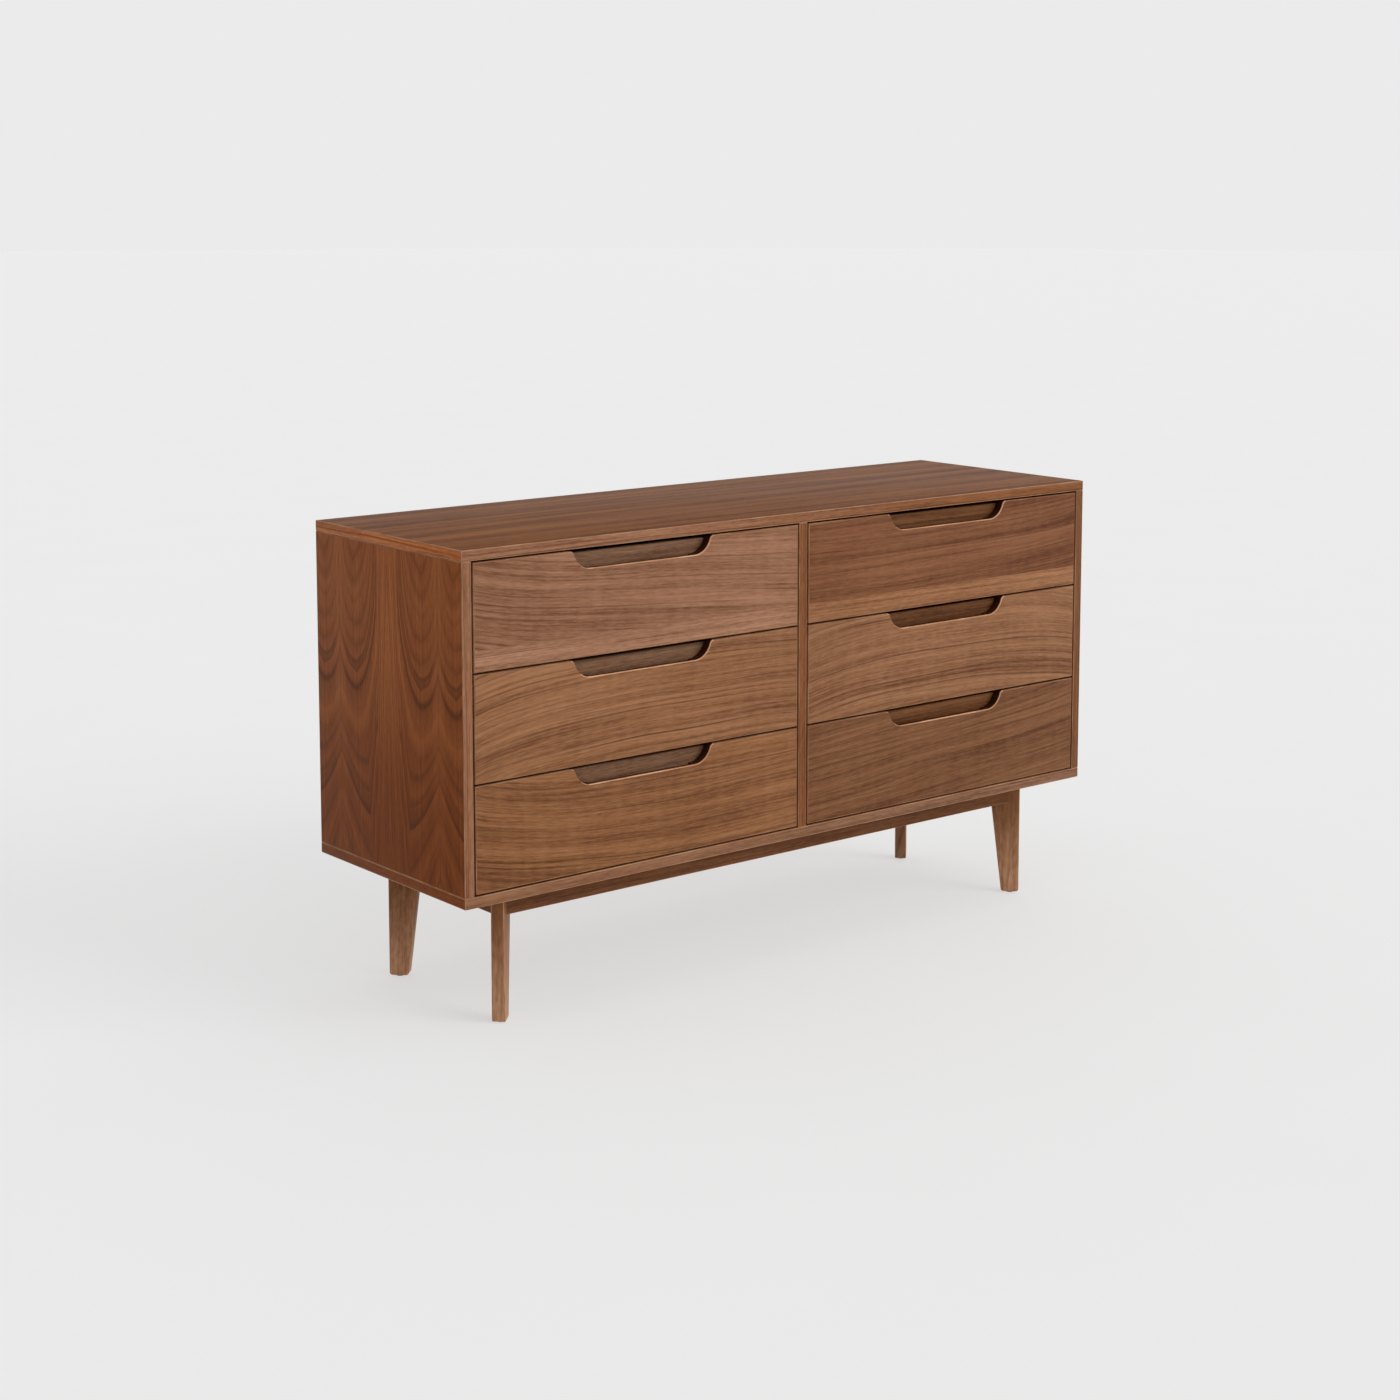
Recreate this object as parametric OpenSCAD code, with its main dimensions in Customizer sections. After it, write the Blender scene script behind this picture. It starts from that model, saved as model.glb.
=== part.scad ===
// Low dresser with drawers in two columns, on a base of tapered corner boards.
// +Z is up and the drawer fronts face -Y. The origin is on the floor, under the middle of the case.
// All sizes are in millimetres.

/* [Case] */
// Width of the case, end to end
case_w = 1400; // [1160:10:1680]
// Depth of the case, front edge to rear edge
case_d = 440; // [366:2:528]
// Height of the case, underside to top
case_h = 570; // [475:5:684]
// Thickness of the top, bottom, end and divider panels
panel_t = 18; // [15:0.2:21.6]
// Thickness of the back panel
back_t = 5; // [4:0.5:6]
// Rear edge of the case to the rear of the back panel
back_inset = 10; // [8:1:16]
// Depth of the groove that holds the back panel
back_groove = 6; // [5:0.2:7.2]

/* [Base] */
// Height of the base, floor to the underside of the case
base_h = 220; // [182:2:264]
// Thickness of a leg board
leg_t = 22; // [18:0.2:26.4]
// Width of a leg board beside the rails
leg_top_w = 54; // [45:1:65]
// Width of a leg board at the foot
leg_foot_w = 33; // [27:1:40]
// Radius of the two corners of a foot
leg_foot_r = 5; // [3:0.5:8]
// End of the case to the outer edge of a leg
leg_inset_x = 99; // [82:1:119]
// Front or rear of the case to the outer edge of a leg
leg_inset_y = 57; // [47:1:69]
// Height of the rails
rail_h = 45; // [40:1:54]
// Thickness of the rails
rail_t = 22; // [18:0.2:26.4]
// Outer edge of a leg to the outer face of a rail
rail_setback = 8; // [6:1:10]
// Diameter of a foot glide
glide_d = 16; // [13:1:20]
// Height of a foot glide below the leg
glide_h = 2; // [1.5:0.5:3]

/* [Drawers] */
// Gap round each drawer front
front_gap = 3; // [2:0.2:3.6]
// Thickness of the drawer fronts
front_t = 18; // [15:0.2:21.6]
// Width of the finger pull's floor, between its two round corners
pull_floor_w = 214; // [178:1:256]
// Depth of the finger pull, below the top of the front
pull_h = 30; // [25:1:34]
// Radius of the lower corners of the finger pull
pull_r = 34; // [28:1:40]
// Radius where the finger pull turns over to meet the top of the front
pull_flare = 8; // [5:0.5:10]
// Thickness of the lip that the fingers hook behind
lip_t = 9; // [7:0.5:11]
// Depth of the finger groove behind the lip
hook_h = 8; // [6:0.5:10]
// Thickness of the sides, front and back of a drawer box
box_t = 12; // [10:0.2:14.4]
// Top of the drawer front to the top of its box
box_below_top = 5; // [4:0.5:8]
// Bottom of the drawer front to the bottom of its box
box_above_bottom = 15; // [12:1:18]
// Space left behind a closed drawer box
box_rear_gap = 27; // [22:1:33]
// Thickness of the drawer bottoms
bottom_t = 6; // [5:0.5:7]
// Bottom of the box to the underside of the drawer bottom
bottom_up = 10; // [8:1:13]
// Depth of the groove that holds the drawer bottom
bottom_groove = 6; // [5:0.2:7.2]

/* [Runners] */
// Space between a drawer box and the panel beside it, filled by a runner
runner_gap = 13; // [12.5:0.5:16]
// Height of the outer runner member, fixed to the case
runner_h = 45; // [40:1:54]
// Bottom of the drawer box to the middle of the runner
runner_up = 62; // [52:1:70]
// Thickness of the runner steel
runner_steel = 1.5; // [1.2:0.1:1.8]
// Height that the bearing balls need above and below the inner member
runner_ball = 4; // [3:0.2:4.8]
// Rear of a closed drawer front to the front of its runners
runner_set = 2; // [1:0.5:4]
// Step between the standard runner lengths
runner_step = 50; // [50:50:100]

/* [Joinery] */
// Diameter of the dowels
dowel_d = 8; // [6:0.5:9.6]
// Length of the dowels
dowel_l = 30; // [26:1:36]
// Part of a dowel that sits in a panel face or in a leg
dowel_in = 10; // [8:0.5:12]
// Middle of an outer dowel to the front or rear of the case
dowel_edge = 50; // [42:1:60]
// Height between the two dowels at a rail end
dowel_pitch = 20; // [17:1:24]
// Diameter of a base screw
screw_d = 4; // [3.5:0.5:5]
// Diameter of the head of a base screw
screw_head_d = 9; // [8:0.5:11]
// Height of the head of a base screw
screw_head_h = 3; // [2.5:0.5:4]
// Part of a base screw that sits in the bottom panel
screw_in = 13; // [10:0.5:13.5]
// Wood left above the counterbore that hides the screw head
screw_wood = 20; // [16:1:24]
// Outer edge of a leg to the nearest screw along a front or back rail
screw_edge = 120; // [100:5:144]

/* [Hidden] */
$fn = 48;
eps = 1;            // how far a cut runs past the face it opens
play = 0.3;         // play of a panel in its groove
hole_play = 0.1;    // gap all round a dowel or a screw in its hole
hole_end = 1;       // space past the end of a dowel or a screw
columns = 2;
rows = 3;
walnut = "#8a5f45";
walnut_end = "#7a4a33";
walnut_legs = "#6f4a30";
walnut_box = "#6b5340";
ply = "#b08d62";
beech = "#c9a878";
steel = "#a9abad";
nylon = "#3a2c22";

case_z = base_h;
front_y = -case_d / 2;
inner_h = case_h - 2 * panel_t;
inner_w = case_w - 2 * panel_t;
bay_w = (inner_w - panel_t) / columns;
back_front_y = case_d / 2 - back_inset - back_t;

front_w = bay_w - 2 * front_gap;
front_h = (inner_h - (rows + 1) * front_gap) / rows;
row_pitch = front_h + front_gap;
box_w = bay_w - 2 * runner_gap;
box_h = front_h - box_below_top - box_above_bottom;
box_d = back_front_y - box_rear_gap - front_y - front_t;
box_inner_w = box_w - 2 * box_t;
// End of the finger pull's floor to the middle of its flare, along X
pull_turn_x = sqrt(pow(pull_r + pull_flare, 2) - pow(pull_r - pull_h + pull_flare, 2));
runner_l = runner_step * floor((box_d - runner_set) / runner_step);
runner_inner_h = runner_h - 2 * runner_steel - 2 * runner_ball;

leg_x = case_w / 2 - leg_inset_x;
leg_y = case_d / 2 - leg_inset_y;
mitre = leg_t / sqrt(2);
rail_reach_x = leg_x - rail_setback - mitre;
rail_reach_y = leg_y - rail_setback - mitre;
rail_dowel_z = [for (side = [-1, 1]) case_z - rail_h / 2 + side * dowel_pitch / 2];
case_dowel_y = [front_y + dowel_edge, (front_y + back_front_y) / 2, -front_y - dowel_edge];
screw_x = [-(leg_x - screw_edge), 0, leg_x - screw_edge];
screw_y = [-rail_reach_y / 2, rail_reach_y / 2];
long_rail_y = leg_y - rail_setback - rail_t / 2;
end_rail_x = leg_x - rail_setback - rail_t / 2;

row_names = ["bottom", "middle", "top"];
column_names = ["left", "right"];
box_piece_names = ["front", "box_front", "box_left_side", "box_right_side", "box_back", "box_bottom", "runners"];
drawer_ids = [for (row = [rows - 1:-1:0]) for (column = [0:columns - 1]) [column, row]];
function drawer_name(id) = str(row_names[id[1]], "_", column_names[id[0]], "_drawer");
function column_x(column) = (column - (columns - 1) / 2) * (bay_w + panel_t);
function row_z(row) = case_z + panel_t + front_gap + row * row_pitch;

// A box from its lowest corner to its highest corner
module block(low, high) {
    translate(low) cube(high - low);
}

// Case panels -------------------------------------------------------------

// The blind holes that take case dowels in the face of the top or bottom panel
module face_dowel_holes(face_z, direction) {
    depth = dowel_in + hole_end;
    for (x = [-(case_w - panel_t) / 2, 0, (case_w - panel_t) / 2])
        for (y = case_dowel_y)
            translate([x, y, face_z + direction * (depth - eps) / 2])
                cylinder(d = dowel_d + 2 * hole_play, h = depth + eps, center = true);
}

// The blind holes that take case dowels in the upper and lower edges of an upright panel
module edge_dowel_holes(x) {
    depth = dowel_l - dowel_in + hole_end;
    for (y = case_dowel_y)
        for (z = [case_z + panel_t + (depth - eps) / 2, case_z + case_h - panel_t - (depth - eps) / 2])
            translate([x, y, z])
                cylinder(d = dowel_d + 2 * hole_play, h = depth + eps, center = true);
}

// The groove for the back panel, as the space that the panel and its play take
module back_groove_cut() {
    block(
        [-inner_w / 2 - back_groove, back_front_y, case_z + panel_t - back_groove],
        [inner_w / 2 + back_groove, back_front_y + back_t + play, case_z + case_h - panel_t + back_groove]
    );
}

module top_panel() {
    color(walnut) difference() {
        block([-case_w / 2, front_y, case_z + case_h - panel_t], [case_w / 2, -front_y, case_z + case_h]);
        back_groove_cut();
        face_dowel_holes(case_z + case_h - panel_t, 1);
    }
}

module bottom_panel() {
    color(walnut) difference() {
        block([-case_w / 2, front_y, case_z], [case_w / 2, -front_y, case_z + panel_t]);
        back_groove_cut();
        face_dowel_holes(case_z + panel_t, -1);
        at_base_screws() screw_pilot();
    }
}

// An upright end panel; side is -1 for the left and 1 for the right
module end_panel(side) {
    inner_x = side * inner_w / 2;
    outer_x = side * case_w / 2;
    color(walnut_end) difference() {
        block(
            [min(inner_x, outer_x), front_y, case_z + panel_t],
            [max(inner_x, outer_x), -front_y, case_z + case_h - panel_t]
        );
        back_groove_cut();
        edge_dowel_holes((inner_x + outer_x) / 2);
    }
}

module centre_divider() {
    color(walnut) difference() {
        block(
            [-panel_t / 2, front_y, case_z + panel_t],
            [panel_t / 2, back_front_y, case_z + case_h - panel_t]
        );
        edge_dowel_holes(0);
    }
}

module back_panel() {
    reach = back_groove - play;
    color(ply) block(
        [-inner_w / 2 - reach, back_front_y, case_z + panel_t - reach],
        [inner_w / 2 + reach, back_front_y + back_t, case_z + case_h - panel_t + reach]
    );
}

// Base --------------------------------------------------------------------

// Side view of a leg board: X runs outwards to the outer edge at 0, Y is height above the floor.
// The inner edge is straight beside the rails and tapers below them. Both foot corners are round.
module leg_outline() {
    taper_top = base_h - rail_h;
    run = leg_top_w - leg_foot_w;
    rise = taper_top - glide_h;
    edge = [-run, rise] / norm([run, rise]);
    tangent = leg_foot_r * tan((90 - atan2(run, rise)) / 2);
    inner_foot = [-leg_foot_w, glide_h];
    polygon([
        [0, base_h],
        [-leg_top_w, base_h],
        [-leg_top_w, taper_top],
        inner_foot + tangent * edge,
        inner_foot + [tangent, 0],
        [-leg_foot_r, glide_h],
        [0, glide_h + leg_foot_r]
    ]);
    translate([-leg_foot_r, glide_h + leg_foot_r]) circle(leg_foot_r);
    translate(inner_foot + [tangent, leg_foot_r]) circle(leg_foot_r);
}

// A leg board, set diagonally; side and end are -1 or 1 along X and Y
module leg(side, end) {
    color(walnut_legs) difference() {
        translate([side * leg_x, end * leg_y, 0])
            rotate([0, 0, atan2(end, side)])
                rotate([90, 0, 0])
                    linear_extrude(height = leg_t, center = true) leg_outline();
        at_rail_dowels() dowel_hole();
    }
}

// A rail with both ends mitred against the legs, along X with its outer face on Y = 0
module rail_board(reach) {
    translate([0, 0, case_z - rail_h])
        linear_extrude(height = rail_h)
            polygon([[-reach, 0], [reach, 0], [reach - rail_t, rail_t], [-reach + rail_t, rail_t]]);
}

module long_rail(end) {
    color(walnut_legs) difference() {
        rotate([0, 0, end < 0 ? 0 : 180])
            translate([0, -leg_y + rail_setback, 0]) rail_board(rail_reach_x);
        at_rail_dowels() dowel_hole();
        at_base_screws() screw_hole();
    }
}

module end_rail(side) {
    color(walnut_legs) difference() {
        rotate([0, 0, side < 0 ? -90 : 90])
            translate([0, -leg_x + rail_setback, 0]) rail_board(rail_reach_y);
        at_rail_dowels() dowel_hole();
        at_base_screws() screw_hole();
    }
}

module foot_glides() {
    middle = leg_foot_w / 2 / sqrt(2);
    color(nylon)
        for (side = [-1, 1])
            for (end = [-1, 1])
                translate([side * (leg_x - middle), end * (leg_y - middle), 0])
                    cylinder(d = glide_d, h = glide_h);
}

// Fasteners ---------------------------------------------------------------

module dowel() {
    cylinder(d = dowel_d, h = dowel_l);
}

// The hole round a dowel, with space at both ends
module dowel_hole() {
    translate([0, 0, -hole_end]) cylinder(d = dowel_d + 2 * hole_play, h = dowel_l + 2 * hole_end);
}

// Places of the upright dowels between the case panels; each starts inside the panel below it
module at_case_dowels() {
    for (x = [-(case_w - panel_t) / 2, 0, (case_w - panel_t) / 2])
        for (y = case_dowel_y)
            for (z = [case_z + panel_t - dowel_in, case_z + case_h - panel_t + dowel_in - dowel_l])
                translate([x, y, z]) children();
}

// Places of the level dowels at the rail ends; each starts inside the leg
module at_rail_dowels() {
    for (z = rail_dowel_z) {
        for (side = [-1, 1])
            for (end = [-1, 1]) {
                translate([side * (rail_reach_x - rail_t / 2 + dowel_in), end * long_rail_y, z])
                    rotate([0, -side * 90, 0]) children();
                translate([side * end_rail_x, end * (rail_reach_y - rail_t / 2 + dowel_in), z])
                    rotate([end * 90, 0, 0]) children();
            }
    }
}

module dowels() {
    color(beech) {
        at_case_dowels() dowel();
        at_rail_dowels() dowel();
    }
}

// Places of the screws that hold the base to the case, at the underside of the case
module at_base_screws() {
    for (x = screw_x)
        for (end = [-1, 1])
            translate([x, end * long_rail_y, case_z]) children();
    for (y = screw_y)
        for (side = [-1, 1])
            translate([side * end_rail_x, y, case_z]) children();
}

module screw_hole() {
    translate([0, 0, -screw_wood - eps]) cylinder(d = screw_d + 2 * hole_play, h = screw_wood + 2 * eps);
    translate([0, 0, -rail_h - eps])
        cylinder(d = screw_head_d + 4 * play, h = rail_h - screw_wood + eps);
}

module screw_pilot() {
    translate([0, 0, -eps]) cylinder(d = screw_d + 2 * hole_play, h = screw_in + hole_end + eps);
}

module base_screws() {
    color(steel) at_base_screws() {
        translate([0, 0, -screw_wood]) cylinder(d = screw_d, h = screw_wood + screw_in);
        translate([0, 0, -screw_wood - screw_head_h]) cylinder(d = screw_head_d, h = screw_head_h);
    }
}

// Runners -----------------------------------------------------------------

// A steel channel along Y: its back is on X = 0 and its flanges reach to X = depth
module channel(height, depth) {
    difference() {
        block([0, 0, -height / 2], [depth, runner_l, height / 2]);
        block(
            [runner_steel, -eps, -height / 2 + runner_steel],
            [depth + eps, runner_l + eps, height / 2 - runner_steel]
        );
    }
}

// The outer member reaches in from the case, and stops short of the back of the inner member
module outer_member() {
    channel(runner_h, runner_gap - 2 * runner_steel);
}

// The inner member reaches out from the drawer box, and stops short of the back of the outer member
module inner_member() {
    mirror([1, 0, 0]) channel(runner_inner_h, runner_gap - 2 * runner_steel);
}

// All the outer members, a pair for each drawer
module case_runners() {
    color(steel)
        for (id = drawer_ids)
            for (side = [-1, 1])
                at_drawer(id)
                    mirror([side > 0 ? 1 : 0, 0, 0])
                        translate([-bay_w / 2, front_t + runner_set, box_above_bottom + runner_up])
                            outer_member();
}

// Drawers -----------------------------------------------------------------
// Each piece is drawn with the drawer front's lower edge on Z = 0, its face on Y = 0, centred on X

module at_drawer(id) {
    translate([column_x(id[0]), front_y, row_z(id[1])]) children();
}

// A flat outline, cut from Y = low_y to Y = high_y
module routed(low_y, high_y) {
    translate([0, high_y, 0])
        rotate([90, 0, 0])
            linear_extrude(height = high_y - low_y) children();
}

// One half of a finger pull, with the top of the front at the height of its X axis.
// A round lower corner turns over through a flare to meet the top.
module half_pull_outline() {
    corner = [pull_floor_w / 2, pull_r - pull_h];
    turn = [pull_floor_w / 2 + pull_turn_x, -pull_flare];
    above = max(corner[1], 0) + eps;
    difference() {
        union() {
            translate([-eps, -pull_h]) square([corner[0] + eps, pull_h + eps]);
            translate(corner) circle(pull_r);
            polygon([corner, turn, [turn[0], above], [corner[0], above]]);
        }
        translate(turn) circle(pull_flare);
    }
}

// One half of the groove behind the lip, below the floor of the finger pull
module half_groove_outline() {
    end_x = pull_floor_w / 2 - hook_h;
    translate([-eps, -pull_h - hook_h]) square([end_x + eps, hook_h + eps]);
    translate([end_x, -pull_h]) circle(hook_h);
}

module drawer_front() {
    color(walnut) difference() {
        block([-front_w / 2, 0, 0], [front_w / 2, front_t, front_h]);
        for (side = [0, 1])
            translate([0, 0, front_h]) mirror([side, 0, 0]) {
                routed(-eps, front_t + eps) half_pull_outline();
                routed(lip_t, front_t + eps) half_groove_outline();
            }
    }
}

// The space of the drawer bottom's groove, in the three boards that hold it
module bottom_groove_cut() {
    block(
        [-box_inner_w / 2 - bottom_groove, front_t + box_t - bottom_groove, box_above_bottom + bottom_up],
        [
            box_inner_w / 2 + bottom_groove,
            front_t + box_d + eps,
            box_above_bottom + bottom_up + bottom_t + play
        ]
    );
}

module box_front() {
    color(walnut_box) difference() {
        block(
            [-box_inner_w / 2, front_t, box_above_bottom],
            [box_inner_w / 2, front_t + box_t, box_above_bottom + box_h]
        );
        bottom_groove_cut();
    }
}

module box_side(side) {
    inner_x = side * box_inner_w / 2;
    outer_x = side * box_w / 2;
    color(walnut_box) difference() {
        block(
            [min(inner_x, outer_x), front_t, box_above_bottom],
            [max(inner_x, outer_x), front_t + box_d, box_above_bottom + box_h]
        );
        bottom_groove_cut();
    }
}

// The back stands on the drawer bottom, which slides in under it
module box_back() {
    color(walnut_box) block(
        [-box_inner_w / 2, front_t + box_d - box_t, box_above_bottom + bottom_up + bottom_t],
        [box_inner_w / 2, front_t + box_d, box_above_bottom + box_h]
    );
}

module box_bottom() {
    reach = box_inner_w / 2 + bottom_groove - play;
    color(ply) block(
        [-reach, front_t + box_t - bottom_groove + play, box_above_bottom + bottom_up],
        [reach, front_t + box_d, box_above_bottom + bottom_up + bottom_t]
    );
}

module drawer_runners() {
    color(steel)
        for (side = [-1, 1])
            mirror([side > 0 ? 1 : 0, 0, 0])
                translate([-box_w / 2, front_t + runner_set, box_above_bottom + runner_up]) inner_member();
}

// Nodes -------------------------------------------------------------------

top_panel();
bottom_panel();
end_panel(-1);  // left_end
end_panel(1);  // right_end
centre_divider();
back_panel();
dowels();
case_runners();
leg(-1, -1);  // front_left_leg
leg(1, -1);  // front_right_leg
leg(-1, 1);  // back_left_leg
leg(1, 1);  // back_right_leg
long_rail(-1);  // front_rail
long_rail(1);  // back_rail
end_rail(-1);  // left_rail
end_rail(1);  // right_rail
base_screws();
foot_glides();
for (id = drawer_ids) {
    name = drawer_name(id);
    at_drawer(id) drawer_front();
    at_drawer(id) box_front();
    at_drawer(id) box_side(-1);
    at_drawer(id) box_side(1);
    at_drawer(id) box_back();
    at_drawer(id) box_bottom();
    at_drawer(id) drawer_runners();
}
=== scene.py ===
import math

import bmesh
import bpy
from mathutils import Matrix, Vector


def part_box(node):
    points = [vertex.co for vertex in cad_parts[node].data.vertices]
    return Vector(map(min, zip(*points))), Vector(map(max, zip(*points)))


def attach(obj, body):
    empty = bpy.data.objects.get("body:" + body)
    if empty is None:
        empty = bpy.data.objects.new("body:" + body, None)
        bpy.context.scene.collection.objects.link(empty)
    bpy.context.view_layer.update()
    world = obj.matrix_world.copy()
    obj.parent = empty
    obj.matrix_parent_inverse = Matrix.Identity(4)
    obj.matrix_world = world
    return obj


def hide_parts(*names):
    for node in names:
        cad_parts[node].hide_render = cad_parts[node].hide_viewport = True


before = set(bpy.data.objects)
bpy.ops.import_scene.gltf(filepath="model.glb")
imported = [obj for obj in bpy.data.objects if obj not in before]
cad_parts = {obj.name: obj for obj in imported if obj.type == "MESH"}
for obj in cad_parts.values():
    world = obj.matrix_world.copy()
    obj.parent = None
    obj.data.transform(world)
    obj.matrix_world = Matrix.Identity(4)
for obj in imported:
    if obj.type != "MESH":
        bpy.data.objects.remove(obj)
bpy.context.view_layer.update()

MM = 0.001
X, Y, Z = range(3)
ARRIS = 1.3 * MM
PLAY = 0.3 * MM
case_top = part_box("top_panel")[1].z
back_low, back_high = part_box("back_panel")
ROWS = ("top", "middle", "bottom")
COLUMNS = ("left", "right")
DRAWERS = [f"{row}_{column}" for row in ROWS for column in COLUMNS]
BOX_PIECES = ("box_front", "box_left_side", "box_right_side", "box_back", "box_bottom")


# Shader maths ------------------------------------------------------------

class Reading:
    """A value in a finish, on which plain arithmetic adds the Math nodes."""

    def __init__(self, finish, socket):
        self.finish = finish
        self.socket = socket

    def __add__(self, other):
        return self.finish.maths("ADD", self, other)

    def __sub__(self, other):
        return self.finish.maths("SUBTRACT", self, other)

    def __rsub__(self, other):
        return self.finish.maths("SUBTRACT", other, self)

    def __mul__(self, other):
        return self.finish.maths("MULTIPLY", self, other)

    def __truediv__(self, other):
        return self.finish.maths("DIVIDE", self, other)

    def __pow__(self, other):
        return self.finish.maths("POWER", self, other)

    def __lt__(self, other):
        return self.finish.maths("LESS_THAN", self, other)

    def __abs__(self):
        return self.finish.maths("ABSOLUTE", self)

    __radd__ = __add__
    __rmul__ = __mul__


class Finish:
    """A material while it is being mixed."""

    def __init__(self, name):
        self.material = bpy.data.materials.new(name)
        self.material.use_nodes = True
        self.tree = self.material.node_tree
        self.tree.nodes.clear()

    def node(self, kind, settings=None, values=None, output=0):
        """Adds a node: its settings first, then the values or links of its sockets."""
        made = self.tree.nodes.new("ShaderNode" + kind)
        for name, value in (settings or {}).items():
            if name == "stops":
                self.set_stops(made.color_ramp, value)
            else:
                setattr(made, name, value)
        for name, value in (values or {}).items():
            if isinstance(value, Reading):
                self.tree.links.new(value.socket, made.inputs[name])
            else:
                made.inputs[name].default_value = value
        return Reading(self, made.outputs[output])

    @staticmethod
    def set_stops(ramp, stops):
        while len(ramp.elements) < len(stops):
            ramp.elements.new(1.0)
        for element, (position, colour) in zip(ramp.elements, stops):
            element.position = position
            element.color = (*colour, 1.0)

    def maths(self, operation, *values):
        return self.node("Math", {"operation": operation}, dict(enumerate(values)))

    def place(self):
        """The three coordinates of a point, in metres."""
        spot = self.node("TexCoord", output=3)
        return [self.node("SeparateXYZ", None, {0: spot}, output=axis) for axis in range(3)]

    def noise(self, along, across, seed, detail=2.0, roughness=0.5):
        """Smooth noise from 0 to 1 over two coordinates that are already in cells."""
        spot = self.node("CombineXYZ", None, {0: along, 1: across, 2: seed})
        values = {"Vector": spot, "Scale": 1.0, "Detail": detail, "Roughness": roughness}
        return self.node("TexNoise", {"noise_dimensions": "3D"}, values)

    def step(self, value, start, end):
        """0 below start, 1 above end, and smooth between."""
        settings = {"interpolation_type": "SMOOTHSTEP"}
        return self.node("MapRange", settings, {"Value": value, "From Min": start, "From Max": end})

    def ramp(self, value, stops):
        return self.node("ValToRGB", {"stops": stops}, {0: value})

    def blend(self, amount, first, second):
        """A mix of two colours."""
        colours = {6: first, 7: second}
        for socket, colour in colours.items():
            if not isinstance(colour, Reading):
                colours[socket] = (*colour, 1.0)
        return self.node("Mix", {"data_type": "RGBA"}, {0: amount, **colours}, output=2)

    def multiply_tint(self, amount, colour, tint):
        """A colour multiplied by a tint, as far as amount says; the legs use it for painted light."""
        settings = {"data_type": "RGBA", "blend_type": "MULTIPLY"}
        return self.node("Mix", settings, {0: amount, 6: colour, 7: (*tint, 1.0)}, output=2)

    def shine(self, colour, roughness, height=None, relief=0.1, **constants):
        """Ends the finish with its shader; height is in metres."""
        if not isinstance(colour, Reading):
            colour = (*colour, 1.0)
        values = {"Base Color": colour, "Roughness": roughness}
        if height is not None:
            bump = {"Strength": relief, "Distance": 1.0, "Height": height}
            values["Normal"] = self.node("Bump", None, bump)
        values.update(constants)
        shader = self.node("BsdfPrincipled", None, values)
        end = self.tree.nodes.new("ShaderNodeOutputMaterial")
        self.tree.links.new(shader.socket, end.inputs["Surface"])
        return self.material


# Walnut ------------------------------------------------------------------

SATIN = {"Specular IOR Level": 0.09}


def tinted(colour, tint):
    """A colour with its red, green and blue multiplied by the tint's."""
    return tuple(part * factor for part, factor in zip(colour, tint))


def walnut_figure(finish, along, ring, seed, tint, lines, contrast, line_strength):
    """Colour, roughness and height of walnut.
    along is the place along the grain and ring the place across the growth rings, in metres.
    lines is how many growth lines there are to a metre; contrast is how far the bands differ."""
    pale = tinted((0.350, 0.163, 0.080), tint)
    brown = tinted((0.255, 0.108, 0.049), tint)
    dark = tinted((0.140, 0.050, 0.020), tint)
    streak = tinted((0.075, 0.026, 0.011), tint)
    wander = finish.noise(along * 1.3, ring * 11.0, seed, 2.0)
    band = finish.noise(along * 0.8, (ring + wander * 0.02) * 34.0, seed + 3.1, 3.0, 0.55)
    strand = finish.noise(along * 2.4, ring * 190.0, seed + 6.1, 2.0, 0.6)
    fibre = finish.noise(along * 9.0, ring * 620.0, seed + 7.7, 2.0, 0.6)
    dash = finish.noise(along * 55.0, ring * 430.0, seed + 8.3, 2.0, 0.6)
    cloud = finish.noise(along * 5.0, ring * 6.0, seed + 5.3, 2.0)
    shade = (band - 0.5) * (1.55 * contrast) + (strand - 0.5) * 1.05
    shade = shade + (fibre - 0.5) * 0.90 + (dash - 0.5) * 0.95
    shade = shade + (cloud - 0.5) * 0.40 + 0.5
    body = finish.ramp(shade, [(0.05, dark), (0.50, brown), (0.95, pale)])
    turns = ring * lines + wander * 3.2
    count = finish.maths("FLOOR", turns)
    phase = finish.maths("FRACT", turns)
    rise = finish.step(phase, 0.55, 0.90)
    fall = 1.0 - finish.step(phase, 0.92, 1.0)
    drawn = finish.node("TexWhiteNoise", {"noise_dimensions": "1D"}, {"W": count + seed * 3.0})
    faded = finish.step(finish.noise(along * 2.2, count * 1.7, seed + 9.2, 1.0), 0.30, 0.62)
    line = rise * fall * (drawn ** 1.6 * 0.90 + 0.10) * faded * (0.92 * line_strength)
    coloured = finish.blend(line, body, streak)
    pore = finish.step(finish.noise(along * 75.0, ring * 1500.0, seed + 2.4, 1.0), 0.66, 0.80)
    coloured = finish.blend(pore * 0.45, coloured, streak)
    roughness = fibre * 0.16 + pore * 0.20 + 0.40
    height = (fibre * 0.00006 - pore * 0.00022) + line * 0.00003
    return coloured, roughness, height


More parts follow.
